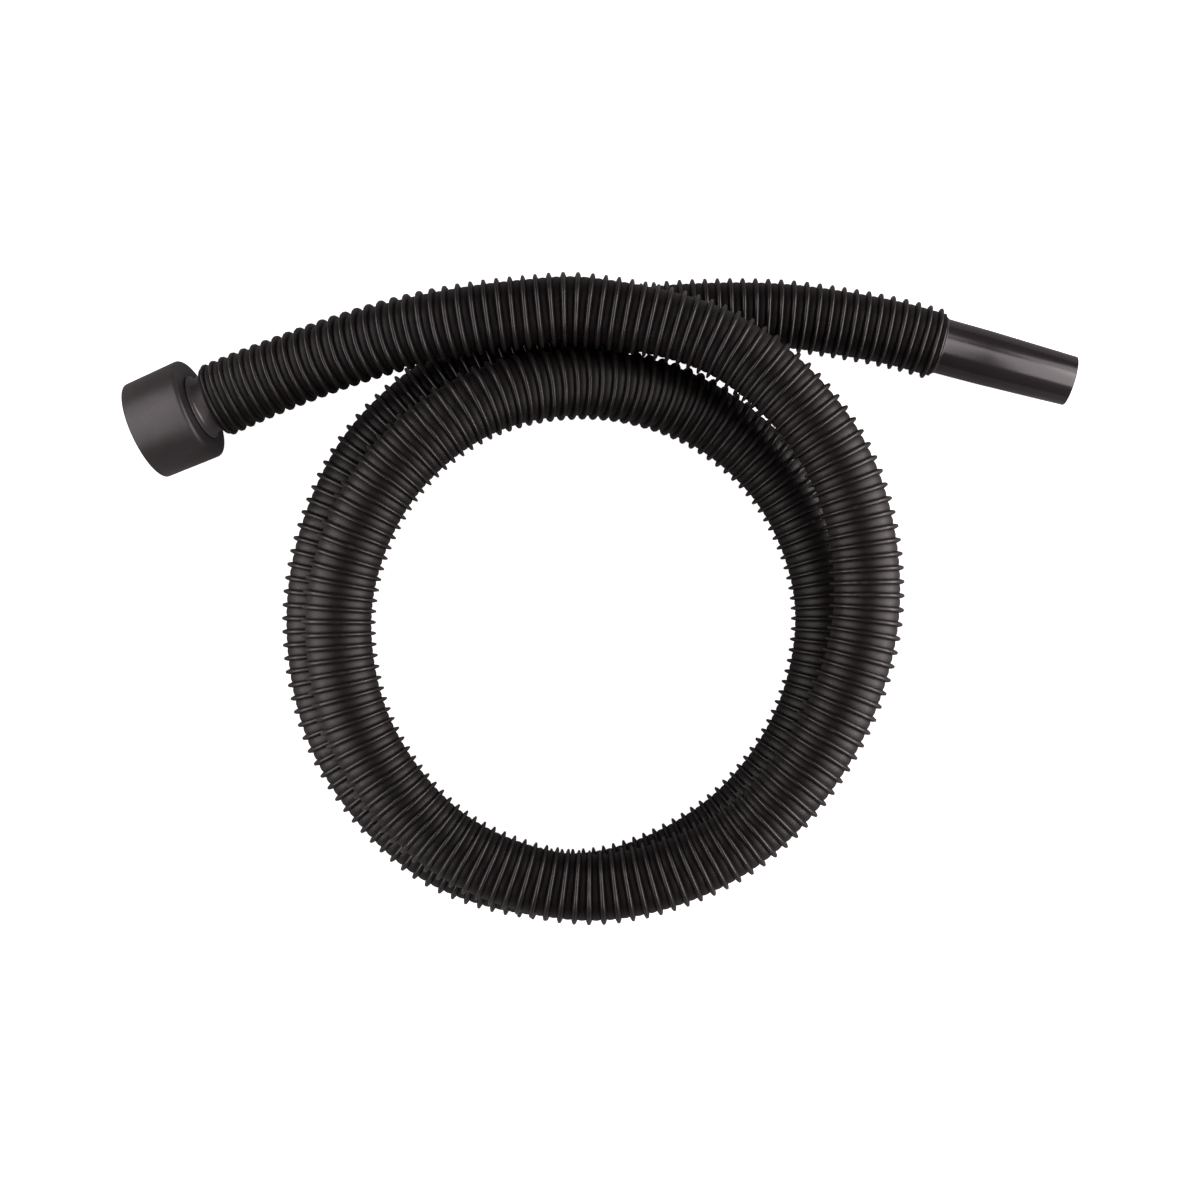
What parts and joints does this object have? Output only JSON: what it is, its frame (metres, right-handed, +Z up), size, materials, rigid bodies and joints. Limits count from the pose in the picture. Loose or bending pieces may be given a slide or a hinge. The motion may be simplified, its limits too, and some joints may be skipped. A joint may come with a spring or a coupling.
{
  "type": "vacuum hose",
  "caption": "Flexible ribbed suction hose lying in a loose coil, with a swivelling push-fit cup for the machine end and a tapered tool tube at the other end.",
  "frame": {"origin": "on the ground, midway between the machine cuff and the nozzle tube", "axes": "+Z up from the ground that the coil lies on, +X from the machine cuff towards the nozzle tube, the coil on the -Y side"},
  "size_m": [0.588, 0.3982, 0.0901],
  "materials": {
    "hose_plastic": "satin black flexible plastic, fine wiped sheen on the rib crests",
    "cuff_plastic": "satin moulded black plastic with fine texture and light scuffs",
    "neck_plastic": "satin moulded black plastic, smoother than the cuff",
    "ring_plastic": "plain moulded black plastic",
    "nozzle_plastic": "semi-gloss black plastic with lengthwise draw marks"
  },
  "bodies": {
    "hose_line": {"hose": "hose_plastic", "swivel_neck": "neck_plastic", "retaining_ring": "ring_plastic", "nozzle_tube": "nozzle_plastic"},
    "cuff": {"machine_cuff": "cuff_plastic"}
  },
  "joints": [
    {"name": "cuff_swivel", "type": "hinge", "parent": "hose_line", "child": "cuff", "pos_m": [-0.24745, -0.01114, 0.03611], "axis": [0.917, 0.3712, 0.1463], "continuous": true}
  ]
}
